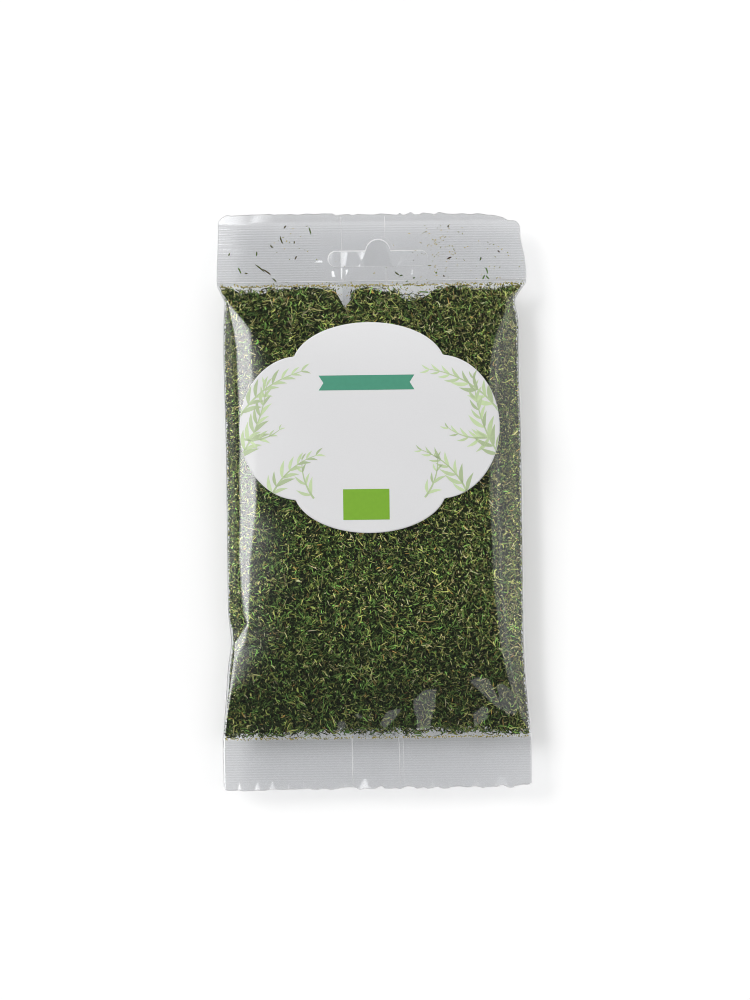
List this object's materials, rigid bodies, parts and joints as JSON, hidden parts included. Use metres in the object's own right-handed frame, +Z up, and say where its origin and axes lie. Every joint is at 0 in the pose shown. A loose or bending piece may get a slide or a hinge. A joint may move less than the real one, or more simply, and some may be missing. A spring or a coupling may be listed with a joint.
{
  "type": "dried herb packet",
  "caption": "Sealed clear film packet of dried dill with crimped ends, a die-cut hang slot and a blank lobed paper label.",
  "frame": {"origin": "on the surface the packet lies on, under the middle of its bounding box", "axes": "+X to the right as one looks at the label, +Y to the sealed end with the hang slot, +Z up, out of the label"},
  "size_m": [0.098, 0.1829, 0.0173],
  "materials": {
    "film": "clear, glossy",
    "dill": "dry, matte leaf",
    "label": "smooth, matte"
  },
  "bodies": {
    "root": {"film_pouch": "film", "dried_dill": "dill", "paper_label": "label"}
  },
  "joints": []
}
